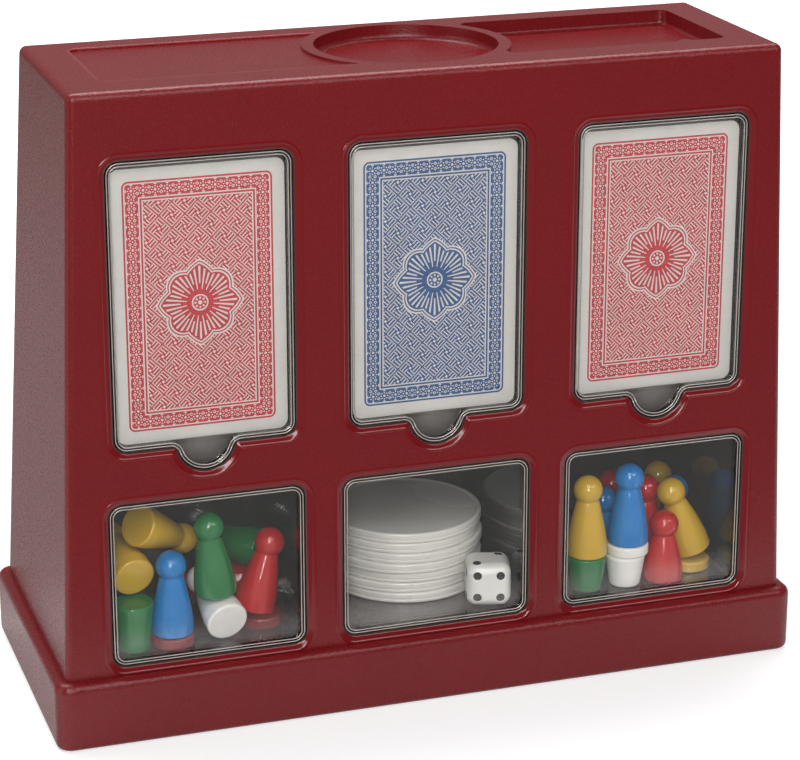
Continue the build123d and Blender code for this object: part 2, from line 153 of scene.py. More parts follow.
class Finish:
    """One material, or the sky, and the short calls that build its node tree."""

    def __init__(self, name, kind="materials"):
        self.block = getattr(bpy.data, kind).new(name)
        self.block.use_nodes = True
        self.tree = self.block.node_tree
        self.tree.nodes.clear()
        self.place = self.node("TexCoord").outputs["Object"]

    def node(self, kind, **settings):
        made = self.tree.nodes.new("ShaderNode" + kind)
        for key, value in settings.items():
            setattr(made, key, value)
        return made

    def feed(self, socket, value):
        if isinstance(value, Term):
            value = value.socket
        if isinstance(value, bpy.types.NodeSocket):
            self.tree.links.new(value, socket)
        else:
            socket.default_value = value

    def math(self, operation, *values):
        made = self.node("Math", operation=operation)
        for socket, value in zip(made.inputs, values):
            self.feed(socket, value)
        return Term(self, made.outputs[0])

    def millimetres(self, centre=(0, 0, 0)):
        """The point's x, y and z in millimetres, counted from a centre given in metres."""
        mapping = self.node("Mapping")
        mapping.inputs["Scale"].default_value = (1 / MM,) * 3
        mapping.inputs["Location"].default_value = [-c / MM for c in centre]
        self.feed(mapping.inputs["Vector"], self.place)
        split = self.node("SeparateXYZ")
        self.feed(split.inputs[0], mapping.outputs[0])
        return [Term(self, s) for s in split.outputs]

    def noise(self, size, detail=2.0, roughness=0.5):
        """Cloudy noise whose lumps are about size metres across, from 0 to 1."""
        made = self.node("TexNoise")
        self.feed(made.inputs["Vector"], self.place)
        self.feed(made.inputs["Scale"], 1 / size)
        self.feed(made.inputs["Detail"], detail)
        self.feed(made.inputs["Roughness"], roughness)
        return Term(self, made.outputs["Fac"])

    def grains(self, size):
        """Rounded grains about size metres across: 0 in each middle, rising to its border."""
        made = self.node("TexVoronoi", feature="SMOOTH_F1")
        self.feed(made.inputs["Vector"], self.place)
        self.feed(made.inputs["Scale"], 1 / size)
        self.feed(made.inputs["Smoothness"], 0.6)
        return Term(self, made.outputs["Distance"])

    def blend(self, share, first, second):
        """Colour that goes from first to second as share goes from 0 to 1."""
        made = self.node("Mix", data_type="RGBA")
        self.feed(made.inputs["Factor"], share)
        for socket, value in zip((made.inputs[6], made.inputs[7]), (first, second)):
            self.feed(socket, value if isinstance(value, bpy.types.NodeSocket) else (*value, 1))
        return made.outputs[2]

    def ramp(self, value, low, high, new_low=0.0, new_high=1.0):
        """Value carried smoothly from one range to another and held at its ends."""
        made = self.node("MapRange", interpolation_type="SMOOTHSTEP")
        for socket, number in zip(made.inputs, (value, low, high, new_low, new_high)):
            self.feed(socket, number)
        return Term(self, made.outputs[0])

    def bump(self, height, distance, strength=1.0, under=None):
        """Normal of a surface raised by height times distance in metres."""
        made = self.node("Bump")
        self.feed(made.inputs["Height"], height)
        self.feed(made.inputs["Distance"], distance)
        self.feed(made.inputs["Strength"], strength)
        if under is not None:
            self.feed(made.inputs["Normal"], under)
        return made.outputs[0]

    def surface(self, **inputs):
        """Ends the tree in a Principled shader with these inputs, and gives the material."""
        shader = self.node("BsdfPrincipled")
        for key, value in inputs.items():
            if isinstance(value, tuple) and len(value) == 3:
                value = (*value, 1)
            self.feed(shader.inputs[key.replace("_", " ")], value)
        self.show(shader.outputs[0])
        return self.block

    def show(self, socket, output="OutputMaterial"):
        self.feed(self.node(output).inputs["Surface"], socket)

    def rays(self, *kinds):
        """For each kind of ray, 1 where it sees the surface, and 0 elsewhere."""
        path = self.node("LightPath")
        return [Term(self, path.outputs[f"Is {kind} Ray"]) for kind in kinds]


def tint(colour, share):
    """A colour made darker or lighter by a share and held below 1."""
    return tuple(min(1, share * c) for c in colour)


def wear(nodes, material):
    """Puts a material on CAD nodes."""
    for name in nodes:
        slots = NODES[name].material_slots
        if not slots:
            NODES[name].data.materials.append(material)
        for slot in slots:
            slot.material = material


def nodes_of(*slots):
    """Names of the CAD nodes that take their finish from these material slots."""
    return [name for name in NODES if SLOT_OF[name] in slots]


# ---------------------------------------------------------------- surfaces from formulas


def rounded_path(corners, radii, steps=8):
    """Runs between corners with each inner corner rounded by an arc of its radius. The arc
    touches both runs, so its centre lies on the line that halves the corner, at the radius
    divided by the sine of half the corner's angle."""
    corners = np.asarray(corners, float)
    path = [corners[:1]]
    for before, corner, after, radius in zip(corners[:-2], corners[1:-1], corners[2:], radii):
        into = (before - corner) / np.linalg.norm(before - corner)
        onward = (after - corner) / np.linalg.norm(after - corner)
        half = np.arccos(np.clip(into @ onward, -1, 1)) / 2
        middle = (into + onward) / np.linalg.norm(into + onward)
        centre = corner + middle * radius / np.sin(half)
        start = corner + into * radius / np.tan(half) - centre
        end = corner + onward * radius / np.tan(half) - centre
        first = np.arctan2(start[1], start[0])
        turn = np.arctan2(start[0] * end[1] - start[1] * end[0], start @ end)
        angles = first + turn * np.linspace(0, 1, steps)
        path.append(centre + radius * np.column_stack([np.cos(angles), np.sin(angles)]))
    path.append(corners[-1:])
    return np.concatenate(path)


def arc_through(first, through, last, steps):
    """Arc of a circle from first through a second point to last. The centre is where the
    lines that halve the two chords at right angles cross."""
    a, b, c = (np.asarray(p, float) for p in (first, through, last))
    centre = np.linalg.solve(np.array([b - a, c - b]), [(b @ b - a @ a) / 2, (c @ c - b @ b) / 2])
    angles = np.unwrap([np.arctan2(*(p - centre)[::-1]) for p in (a, b, c)])
    turn = np.linspace(angles[0], angles[2], steps)
    return centre + np.linalg.norm(a - centre) * np.column_stack([np.cos(turn), np.sin(turn)])


def held(profile, gap=0.3):
    """Half outline with one more point a small way in from each end of every long straight
    run, so that the shading of a rounded edge stops there and flat faces look flat."""
    run = np.diff(profile, axis=0)
    share = gap / np.maximum(np.linalg.norm(run, axis=1), 1e-9)
    inset = run * share[:, None]
    parts = np.stack([profile[:-1], profile[:-1] + inset, profile[1:] - inset], axis=1)
    long = share < 0.25
    keep = np.column_stack([share > 0, long, long])
    return np.concatenate([parts[keep], profile[-1:]])


def turned(profile, sides):
    """Surface of revolution: each profile point (radius, height) goes round the Z axis in
    equal steps, and the profile's two ends lie on the axis, where a fan closes each pole.
    Gives points and faces as arrays; a face of three points repeats its last."""
    profile = held(profile)
    turn = np.arange(sides) * 2 * np.pi / sides
    radius, height = profile[1:-1, :1], profile[1:-1, 1:]
    rings = np.stack([radius * np.cos(turn), radius * np.sin(turn), height + 0 * turn], axis=-1)
    points = np.concatenate([rings.reshape(-1, 3), [[0, 0, profile[0, 1]], [0, 0, profile[-1, 1]]]])
    ring = np.arange(sides)
    beside = (ring + 1) % sides
    rows = np.arange(len(radius) - 1)[:, None] * sides
    quads = np.stack([rows + ring, rows + beside, rows + beside + sides, rows + ring + sides], axis=-1)
    bottom, top = len(points) - 2, len(points) - 1
    last = (len(radius) - 1) * sides
    foot = np.stack([0 * ring + bottom, beside, ring, ring], axis=-1)
    crown = np.stack([last + ring, last + beside, 0 * ring + top, 0 * ring + top], axis=-1)
    return points, np.concatenate([quads.reshape(-1, 4), foot, crown])


def joined(surfaces):
    """Several surfaces as one, each one's face numbers raised by the points before it."""
    counts = np.cumsum([0] + [len(points) for points, _ in surfaces[:-1]])
    faces = [faces + count for (_, faces), count in zip(surfaces, counts)]
    return np.concatenate([points for points, _ in surfaces]), np.concatenate(faces)


def turn_about(axis, degrees):
    """Matrix that turns about the Y or Z axis by an angle."""
    c, s = np.cos(np.radians(degrees)), np.sin(np.radians(degrees))
    if axis == "Y":
        return np.array([[c, 0, s], [0, 1, 0], [-s, 0, c]])
    return np.array([[c, -s, 0], [s, c, 0], [0, 0, 1]])


def piece(name, surface, material, node, marks=None, stands_for=True):
    """Makes a smooth mesh of points in metres with the given material, which rides on a CAD node's body,
    and puts it in place of the node unless it only adds to it."""
    points, faces = surface
    mesh = bpy.data.meshes.new(name)
    corners = np.where(faces[:, 3] == faces[:, 2], 3, 4)
    starts = np.concatenate([[0], np.cumsum(corners)[:-1]])
    used = np.arange(4)[None, :] < corners[:, None]
    mesh.vertices.add(len(points))
    mesh.vertices.foreach_set("co", np.ascontiguousarray(points, np.float32).ravel())
    mesh.loops.add(int(corners.sum()))
    mesh.loops.foreach_set("vertex_index", faces[used].astype(np.int32))
    mesh.polygons.add(len(faces))
    mesh.polygons.foreach_set("loop_start", starts.astype(np.int32))
    mesh.polygons.foreach_set("use_smooth", np.ones(len(faces), bool))
    mesh.update(calc_edges=True)
    if mesh.validate():
        raise RuntimeError(name + " has a bad face")
    for key, values in (marks or {}).items():
        mesh.attributes.new(key, "FLOAT", "POINT").data.foreach_set("value", values.astype(np.float32))
    mesh.materials.append(material)
    made = bpy.data.objects.new(name, mesh)
    bpy.context.scene.collection.objects.link(made)
    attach(made, BODY_OF[node])
    if stands_for:
        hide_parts(node)


def box_mm(node):
    """Lowest and highest corner of a node's box, in millimetres."""
    return [np.array(corner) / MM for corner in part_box(node)]


def on_node(points, node):
    """Points in millimetres carried to metres, with the middle of their box at the middle
    of the node's box."""
    low, high = (np.array(corner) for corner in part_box(node))
    points = points * MM
    return points + (low + high) / 2 - (points.min(0) + points.max(0)) / 2


# ---------------------------------------------------------------- settings


# what every colour setting has in common
COLOUR = {"subtype": "COLOR", "size": 3, "min": 0, "max": 1}


class CaseLook(bpy.types.PropertyGroup):
    """Finish of the moulded case."""

    red: bpy.props.FloatVectorProperty(
        name="Case red", description="Colour of the case and its base",
        default=(0.148, 0.0045, 0.0065), **COLOUR,
    )
    grain: bpy.props.FloatProperty(
        name="Grain size", description="Width of one grain in the moulded surface",
        unit="LENGTH", min=0.0001, max=0.003, default=0.0006,
    )
    grain_depth: bpy.props.FloatProperty(
        name="Grain depth", description="Height of the grains",
        unit="LENGTH", min=0, max=0.0003, default=0.00009,
    )
    # painted highlight along the edge of the panel in the top
    painted_edge_highlight: bpy.props.FloatVectorProperty(
        name="Painted edge highlight", description="Colour of the edge of the panel in the top",
        default=(0.36, 0.06, 0.065), **COLOUR,
    )
    # painted shade for the inside of the red case and for each window's lip
    shade: bpy.props.FloatVectorProperty(
        name="Inside", description="Colour of the mouldings behind the windows",
        default=(0.050, 0.026, 0.023), **COLOUR,
    )
    inside: bpy.props.FloatVectorProperty(
        name="Inner walls", description="Colour of the walls between and behind the trays",
        default=(0.040, 0.036, 0.032), **COLOUR,
    )


class CardLook(bpy.types.PropertyGroup):
    """Printed backs of the cards."""

    red_ink: bpy.props.FloatVectorProperty(
        name="Red ink", description="Ink on the left and right decks",
        default=(0.45, 0.009, 0.022), **COLOUR,
    )
    blue_ink: bpy.props.FloatVectorProperty(
        name="Blue ink", description="Ink on the middle deck",
        default=(0.004, 0.062, 0.200), **COLOUR,
    )
    paper: bpy.props.FloatVectorProperty(
        name="Card stock", description="Colour of the bare card",
        default=(0.61, 0.58, 0.55), **COLOUR,
    )
    margin: bpy.props.FloatProperty(
        name="White margin", description="Bare card outside the printed frame",
        unit="LENGTH", min=0.001, max=0.008, default=0.0039,
    )
    cell: bpy.props.FloatProperty(
        name="Lattice cell", description="Width of one square of the woven field",
        unit="LENGTH", min=0.001, max=0.006, default=0.0029,
    )


class PieceLook(bpy.types.PropertyGroup):
    """Colours of the loose pieces."""

    yellow: bpy.props.FloatVectorProperty(
        name="Yellow", description="Yellow pieces", default=(0.60, 0.365, 0.024), **COLOUR
    )
    blue: bpy.props.FloatVectorProperty(
        name="Blue", description="Blue pieces", default=(0.004, 0.185, 0.520), **COLOUR
    )
    green: bpy.props.FloatVectorProperty(
        name="Green", description="Green pieces", default=(0.012, 0.165, 0.042), **COLOUR
    )
    red: bpy.props.FloatVectorProperty(
        name="Red", description="Red pieces", default=(0.480, 0.009, 0.012), **COLOUR
    )
    white: bpy.props.FloatVectorProperty(
        name="White", description="White pieces", default=(0.85, 0.825, 0.79), **COLOUR
    )
    sides: bpy.props.IntProperty(
        name="Sides", description="Steps round each turned piece", min=24, max=256, default=72
    )


class StageLook(bpy.types.PropertyGroup):
    """Camera, lamps and floor."""

    camera_place: bpy.props.FloatVectorProperty(
        name="Camera", description="Place of the camera", subtype="TRANSLATION", size=3,
        default=(-0.26669, -0.81468, 0.38966),
    )
    camera_target: bpy.props.FloatVectorProperty(
        name="Target", description="Point the camera looks at", subtype="TRANSLATION", size=3,
        default=(0.003363, 0, 0.094375),
    )
    lens: bpy.props.FloatProperty(
        name="Lens", description="Focal length in millimetres", min=20, max=300, default=120.77
    )
    sky: bpy.props.FloatProperty(
        name="Sky", description="Light from all round", min=0, max=2, default=0.25
    )
    mirrored_sky: bpy.props.FloatProperty(
        name="Mirrored sky", description="Sky in glossy surfaces", min=0, max=2, default=0.25
    )


# ---------------------------------------------------------------- operators


def from_window(across, up):
    """Distance in millimetres from the outline of the nearest window, less than 0 inside it:
    a rounded frame, which under a deck is joined by the circle of the finger notch."""
    outlines = []
    across = ((across / BAY_PITCH + 0.5).part() - 0.5) * BAY_PITCH
    for kind in ("card", "piece"):
        low, high = box_mm(kind + "_tray_middle")
        foot = low[2] + (NOTCH_DIP if kind == "card" else 0.0)
        half_width, half_height = (high[0] - low[0]) / 2 + TRAY_GAP, (high[2] - foot) / 2 + TRAY_GAP
        height = up - (high[2] + foot) / 2
        frame = rounded_frame(across, height, half_width, half_height, TRAY_CORNER + TRAY_GAP)
        if kind == "card":
            notch_z = foot + NOTCH_RADIUS - TRAY_GAP - NOTCH_DIP
            frame = frame.low(across.length(up - notch_z) - NOTCH_RADIUS)
        outlines.append(frame)
    return outlines[0].low(outlines[1])


class CARDBOX_OT_case(bpy.types.Operator):
    """Gives the case, its base and its back their grained red plastic"""

    bl_idname = "cardbox.case"
    bl_label = "Case"

    def execute(self, context):
        look = context.scene.cardbox_case
        finish = Finish("grained red plastic")
        red = tuple(look.red)
        cloud = finish.noise(0.03, 3)
        colour = finish.blend(cloud, tint(red, 0.93), tint(red, 1.07))
        across, back, up = finish.millimetres()

        # painted shade: the inside of the red case is painted dark from the front wall to the inner face
        # of the leaning back
        inside = back.between(-46.0, 31.0) & up.between(23.4, 190.0) & (abs(across) < 112.0)
        back_lean, back_reach = 0.1217, 50.5
        inside = inside & (back + up * back_lean < back_reach)
        colour = finish.blend(inside, colour, tuple(look.shade))

        # round each window: a lip darkened by painted shade, a raised bead and a smooth band without
        # grain
        outline = from_window(across, up)
        front = (back < -45.0) & (abs(across) < 114.6)
        lip_width, lip_drop = 0.75, 0.22
        bead_middle, bead_width, bead_height = 2.35, 0.85, 0.17
        smooth_from, smooth_to = 2.9, 3.7
        smooth = front & finish.ramp(outline, smooth_from, smooth_to, 1.0, 0.0)
        # painted shade on the lip, in the gap round each tray
        edge = front & finish.ramp(outline, 0.1, lip_width, 1.0, 0.0)
        colour = finish.blend(edge, colour, tuple(look.shade))
        bead = (1.0 - abs(outline - bead_middle) / bead_width).high(0.0)
        lip = (1.0 - abs(outline) / lip_width).high(0.0)

        # rounded edge of the shallow panel in the top, paler with a painted highlight, left out round
        # the dish
        panel_middle, panel_half, panel_corner = (-50.5, -10.0), (52.5, 24.75), 3.5
        dish_x, dish_reach, edge_width, edge_drop = 2.0, 34.0, 0.9, 0.3
        along, deep = across - panel_middle[0], back - panel_middle[1]
        panel = rounded_frame(along, deep, *panel_half, panel_corner)
        off_dish = (across - dish_x).length(deep) > dish_reach
        panel = (up > 211.6) & off_dish & (1.0 - abs(panel) / edge_width).high(0.0)
        # painted highlight on the panel's edge
        colour = finish.blend(panel * 0.8, colour, tuple(look.painted_edge_highlight))

        moulded = front & (bead * bead * bead_height - lip * lip * lip_drop)
        moulded = moulded - panel * panel * edge_drop
        grain = finish.grains(look.grain) * 0.6 + finish.noise(look.grain * 0.6, 2, 0.6)
        grain = grain * (1.0 - smooth * 0.85)
        normal = finish.bump(grain, look.grain_depth, under=finish.bump(moulded, MM))
        rough = finish.ramp(finish.noise(0.0007, 2), 0.3, 0.7, 0.22, 0.29) - smooth * 0.12
        material = finish.surface(
            Base_Color=colour, Roughness=rough, Normal=normal, Specular_IOR_Level=0.42
        )
        wear(nodes_of("case_red"), material)
        return {"FINISHED"}


class CARDBOX_OT_walls(bpy.types.Operator):
    """Gives the inner walls and the screws their finishes"""

    bl_idname = "cardbox.walls"
    bl_label = "Inner walls and screws"

    def execute(self, context):
        look = context.scene.cardbox_case
        finish = Finish("dark inner plastic")
        dark = tuple(look.inside)
        colour = finish.blend(finish.noise(0.02, 3), tint(dark, 0.85), tint(dark, 1.15))
        normal = finish.bump(finish.noise(0.0012, 2), 0.000006)
        wear(nodes_of("inner_dark"), finish.surface(Base_Color=colour, Roughness=0.5, Normal=normal))

        finish = Finish("turned steel")
        colour = finish.blend(finish.noise(0.002, 2), (0.42, 0.42, 0.43), (0.60, 0.60, 0.61))
        normal = finish.bump(finish.noise(0.0004, 2), 0.00001)
        rough = finish.ramp(finish.noise(0.001, 2), 0.3, 0.7, 0.28, 0.42)
        steel = finish.surface(Base_Color=colour, Metallic=1.0, Roughness=rough, Normal=normal)
        wear(nodes_of("screw_steel"), steel)
        return {"FINISHED"}


class CARDBOX_OT_trays(bpy.types.Operator):
    """Gives the trays their clear plastic, which lets lamps reach what is behind it"""

    bl_idname = "cardbox.trays"
    bl_label = "Clear trays"

    def execute(self, context):
        finish = Finish("clear tray plastic")
        rough = finish.ramp(finish.noise(0.01, 3), 0.3, 0.7, 0.012, 0.03)
        glass = finish.node("BsdfGlass")
        finish.feed(glass.inputs["Color"], (0.955, 0.955, 0.95, 1))
        finish.feed(glass.inputs["IOR"], 1.49)
        finish.feed(glass.inputs["Roughness"], rough)
        clear = finish.node("BsdfTransparent")
        finish.feed(clear.inputs["Color"], (0.95, 0.95, 0.945, 1))
        shadow, diffuse = finish.rays("Shadow", "Diffuse")
        mix = finish.node("MixShader")
        finish.feed(mix.inputs[0], shadow | diffuse)
        finish.feed(mix.inputs[1], glass.outputs[0])
        finish.feed(mix.inputs[2], clear.outputs[0])
        finish.show(mix.outputs[0])
        wear(nodes_of("tray_clear"), finish.block)

        # painted glints: grey, partly metallic beads stand for the reflections in the clear rim's edges,
        # besides the lamps that the shader reflects
        finish = Finish("tray edge beads with painted glints")
        colour = finish.blend(finish.noise(0.006, 3), (0.43, 0.385, 0.35), (0.62, 0.57, 0.52))
        normal = finish.bump(finish.noise(0.0012, 2), 0.00001, 0.4)
        rough = finish.ramp(finish.noise(0.003, 3), 0.3, 0.7, 0.16, 0.26)
        painted_glints = finish.surface(Base_Color=colour, Metallic=0.45, Roughness=rough, Normal=normal)
        for node in nodes_of("tray_clear"):
            tray_edges(node, painted_glints)

        # painted shade: a dark sheet behind each deck's finger notch stands for the shaded inside seen
        # through it
        finish = Finish("painted shade behind the notch")
        colour = finish.blend(finish.noise(0.004, 2), (0.100, 0.086, 0.077), (0.125, 0.108, 0.098))
        normal = finish.bump(finish.noise(0.0008, 2), 0.000005)
        painted_notch_shade = finish.surface(Base_Color=colour, Roughness=0.45, Normal=normal)
        for node in [name for name in nodes_of("tray_clear") if name.startswith("card")]:
            notch_shade_sheet(node, painted_notch_shade)
        return {"FINISHED"}


def rim_line(node, inward, steps=12):
    """Line that runs round the front of a tray at a distance inward from its outer edge, as
    arcs joined by straight runs: four corners, and under a deck also the thumb notch with a
    hollow fillet on each side. Each arc keeps its centre whatever the distance, so a corner
    or the notch loses the distance from its radius and a hollow fillet gains it. Gives x and
    z in millimetres, with the front seen as the card's face is."""
    low, high = box_mm(node)
    corner, notch, fillet = TRAY_CORNER, NOTCH_RADIUS - TRAY_GAP, NOTCH_FILLET + TRAY_GAP
    notched = node.startswith("card")
    foot = low[2] + (NOTCH_DIP if notched else 0)
    left, right, top = low[0] + corner, high[0] - corner, high[2] - corner
    middle, round_z = (low[0] + high[0]) / 2, foot + notch - NOTCH_DIP
    arcs = [
        (right, top, corner - inward, 0, 90),
        (left, top, corner - inward, 90, 180),
        (left, foot + corner, corner - inward, 180, 270),
    ]
    if notched:
        reach = np.sqrt((notch + fillet) ** 2 - (round_z - foot + fillet) ** 2)
        swing = np.degrees(np.arctan2(reach, round_z - foot + fillet))
        arcs += [
            (middle - reach, foot - fillet, fillet + inward, 90, 90 - swing),
            (middle, round_z, notch - inward, 270 - swing, 270 + swing),
            (middle + reach, foot - fillet, fillet + inward, 90 + swing, 90),
        ]
    arcs.append((right, foot + corner, corner - inward, 270, 360))
    x, z, radius, first, last = np.array(arcs).T[:, :, None]
    turn = np.radians(first + (last - first) * np.linspace(0, 1, steps))
    return np.stack([x + radius * np.cos(turn), z + radius * np.sin(turn)], axis=-1).reshape(-1, 2)


def tray_edges(node, material):
    """Two beads on the rim of a tray, one along each side of its groove, grey and partly metallic as
    painted glints of the clear plastic's edge. Each is a half ellipse carried along the line of the rim:
    a point goes across by half the bead's width times the cosine of its angle, and forward by its height
    times the sine."""
    wide, height, sunk = 0.34, 0.14, 0.03
    outer_bead, inner_bead = 0.27, 1.18
    front = box_mm(node)[0][1]
    turn = np.linspace(0, np.pi, 9)
    beads = []
    for middle in (outer_bead, inner_bead):
        lines = [rim_line(node, middle + wide / 2 * c) for c in np.cos(turn)]
        depths = front + sunk - height * np.sin(turn)
        line = np.stack([np.insert(run, 1, y, axis=1) for run, y in zip(lines, depths)])
        count = line.shape[1]
        here = np.arange(count)
        after = (here + 1) % count
        rows = np.arange(len(turn))[:, None] * count
        below = np.roll(rows, -1, axis=0)
        quads = np.stack([rows + here, below + here, below + after, rows + after], axis=-1)
        beads.append((line.reshape(-1, 3) * MM, quads.reshape(-1, 4)))
    piece("painted_glint_beads_" + node, joined(beads), material, node, stands_for=False)


def notch_shade_sheet(node, material):
    """Thin dark plate behind the finger notch of a deck's tray, a sheet of painted shade that stands for
    the shaded inside seen through the notch. Its lower edge is the part of the tray's line, a wall's
    thickness in from the outside, that makes the notch and its two hollow fillets, and its upper edge is
    straight. Two such sheets stand a plate's thickness apart, each closed by a fan from the middle of
    the notch's circle and joined to the other all round."""
    inward, steps, plate_front, plate_back = 1.2, 24, -45.6, -45.48
    low, high = box_mm(node)
    middle = [((low[0] + high[0]) / 2, low[2] + NOTCH_RADIUS - TRAY_GAP)]
    edge = rim_line(node, inward, steps).reshape(-1, steps, 2)[3:6, 1:].reshape(-1, 2)
    sheet = np.concatenate([edge, middle])
    points = np.concatenate([np.insert(sheet, 1, depth, axis=1) for depth in (plate_front, plate_back)])
    count = len(edge)
    here = np.arange(count)
    after, hub = (here + 1) % count, 0 * here + count
    front = np.column_stack([here, after, hub, hub])
    back = np.column_stack([after, here, hub, hub]) + count + 1
    sides = np.column_stack([after, here, here + count + 1, after + count + 1])
    faces = np.concatenate([front, back, sides])
    piece("notch_shade_sheet_" + node, (points * MM, faces), material, node, stands_for=False)


def rounded_frame(across, up, half_width, half_height, corner):
    """Distance of a point from a rectangle with rounded corners, less than 0 inside: the
    distance from the inner rectangle whose corners are the arcs' centres, less the radius."""
    x = abs(across) - (half_width - corner)
    y = abs(up) - (half_height - corner)
    return x.high(0.0).length(y.high(0.0)) + x.high(y).low(0.0) - corner


def card_back(name, ink, paper, centre, margin, cell):
    """Traditional card back: a fine frame, a band of small round flowers, a woven diagonal
    field and an eight-lobed medallion, each a mask of the point's place on the card."""
    finish = Finish(name)
    across, _, up = finish.millimetres(centre)
    half_width, half_height = 27.5 - margin, 44.0 - margin
    edge = 0.0 - rounded_frame(across, up, half_width, half_height, 2.0)
    to_side = half_width - abs(across)
    to_end = half_height - abs(up)
    inset = to_side.low(to_end)

    # band of flowers: an eye with eight petals stands in each corner and at even steps
    # between, with two pointed loops and a dot on each edge half way from one to the next
    beside = to_side < to_end
    off = inset - 3.0
    wide, tall = half_width - 3.0, half_height - 3.0
    along = beside.choose((up - tall) * (20 / (2 * tall)), (across - wide) * (11 / (2 * wide)))
    step = ((along + 0.5).part() - 0.5) * 3.7
    half_step = (along.part() - 0.5) * 3.7
    ring = step.length(off)
    petal = (off.angle(step) * 8.0).cosine()
    loop = abs(half_step) * 0.9 + abs(abs(off) - 0.85)
    white_band = (
        (ring < 0.40)
        | (ring.between(0.85, 1.32) & (petal > 0.2))
        | loop.between(0.28, 0.58)
        | ((abs(step) * 0.42).length(abs(off) - 1.80) < 0.20)
    )

    # woven field on slanting cells: three strands one way take turns with three the other
    # way, a lozenge sits where four cells meet, and every second row is parted by a line
    # between two bare ones
    p = (across + up) * (0.7071 / cell)
    q = (across - up) * (0.7071 / cell)
    odd = ((p.floor() + q.floor()) * 0.5).part() > 0.25
    strands = odd.choose(abs((p * 3.0).part() - 0.5), abs((q * 3.0).part() - 0.5)) < 0.19
    lines_p = 0.5 - abs((p * 0.5).part() - 0.5)
    lines_q = 0.5 - abs((q * 0.5).part() - 0.5)
    parting = lines_p.low(lines_q)
    lozenge = (0.5 - lines_p).high(0.5 - lines_q)
    woven = (strands & (parting > 0.10) & (lozenge > 0.12)) | (lozenge < 0.07)
    woven = woven | parting.between(0.045, 0.085)

    # medallion: pointed lobes up, down and to the sides, round lobes between, each with
    # five strokes that run in to a rosette
    away = across.length(up)
    eighths = up.angle(across) * (4 / np.pi)
    from_lobe = abs((eighths + 0.5).part() - 0.5) * 2.0
    pointed = ((eighths + 0.5).floor() * 0.5).part() < 0.25
    reach = pointed.choose(13.5 - from_lobe * 2.6, 12.5 - from_lobe * from_lobe * 1.6)
    deep = reach - away
    stroke = abs((eighths * 5.0).part() - 0.5)
    inner = (stroke > 0.30) & (away > 4.3) & (deep > 1.65)
    strokes = inner & ((away > 6.2) | ((eighths * 2.5 + 0.25).part() > 0.5))
    dots = (eighths * (2 * np.pi)).cosine()
    rosette = (away < 0.66) | away.between(2.2, 2.65) | (away.between(1.15, 1.85) & (dots > 0.1))
    white_medal = deep.between(0.45, 0.98) | deep.between(-0.55, 0.0) | strokes | rosette

    white = (edge < 0.0) | edge.between(0.58, 0.98) | (inset.between(0.98, 5.10) & white_band)
    white = white | inset.between(5.10, 5.52) | inset.between(6.12, 6.50)
    inside = inset > 6.50
    white = white | (inside & (deep < -0.55) & woven) | (inside & (deep > -0.55) & white_medal)

    # print only on the card's front, the cut edges stay bare
    facing = finish.node("SeparateXYZ")
    finish.feed(facing.inputs[0], finish.node("NewGeometry").outputs["Normal"])
    bare = white | (abs(Term(finish, facing.outputs[1])) < 0.5)
    mottle = finish.ramp(finish.noise(0.006, 3), 0.3, 0.7, 0.0, 1.0)
    inked = finish.blend(mottle, tint(ink, 0.92), tint(ink, 1.08))
    stock = finish.blend(mottle, tint(paper, 0.97), tint(paper, 1.02))
    colour = finish.blend(bare, inked, stock)
    dimple = abs((across / 0.45).part() - 0.5) + abs((up / 0.45).part() - 0.5)
    normal = finish.bump(dimple, 0.00001, 0.5)
    return finish.surface(Base_Color=colour, Roughness=0.42, Normal=normal, Specular_IOR_Level=0.4)


class CARDBOX_OT_cards(bpy.types.Operator):
    """Prints the top card of each deck and gives the decks their cut edges"""

    bl_idname = "cardbox.cards"
    bl_label = "Decks of cards"

    def execute(self, context):
        look = context.scene.cardbox_cards
        for node in nodes_of("card_back_red", "card_back_blue"):
            low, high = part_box(node)
            ink = look.blue_ink if SLOT_OF[node] == "card_back_blue" else look.red_ink
            material = card_back(
                "printed " + node.replace("_", " "),
                tuple(ink),
                tuple(look.paper),
                (low + high) / 2,
                look.margin / MM,
                look.cell / MM,
            )
            wear([node], material)

        finish = Finish("cut card edges")
        _, depth, _ = finish.millimetres()
        gap = abs((depth / 0.31).part() - 0.5)
        shade = finish.ramp(gap, 0.30, 0.48, 0.0, 1.0)
        tone = finish.ramp(finish.noise(0.0015, 2), 0.35, 0.65, 0.0, 0.4)
        paper = tuple(look.paper)
        colour = finish.blend(shade.high(tone), paper, tint(paper, 0.62))
        normal = finish.bump(1.0 - shade, 0.00004)
        wear(nodes_of("card_stock"), finish.surface(Base_Color=colour, Roughness=0.7, Normal=normal))
        return {"FINISHED"}


def glossy_plastic(name, colour, rough=0.11, spots=None, lump=0.006):
    """Moulded plastic of a loose piece: faint clouds in the colour and a faint orange peel.
    spots names a point attribute that marks sunk dark paint, and lump is the clouds' size."""
    finish = Finish(name)
    cloud = finish.ramp(finish.noise(lump, 1), 0.3, 0.7, 0.0, 1.0)
    shade = finish.blend(cloud, tint(colour, 0.975), tint(colour, 1.02))
    if spots:
        mark = finish.node("Attribute", attribute_name=spots).outputs["Fac"]
        shade = finish.blend(finish.ramp(Term(finish, mark), 0.35, 0.65), shade, (0.012, 0.013, 0.014))
    normal = finish.bump(finish.noise(lump, 0), 0.000004)
    gloss = finish.ramp(finish.noise(lump * 2, 1), 0.3, 0.7, rough * 0.9, rough * 1.1)
    return finish.surface(Base_Color=shade, Roughness=gloss, Normal=normal)


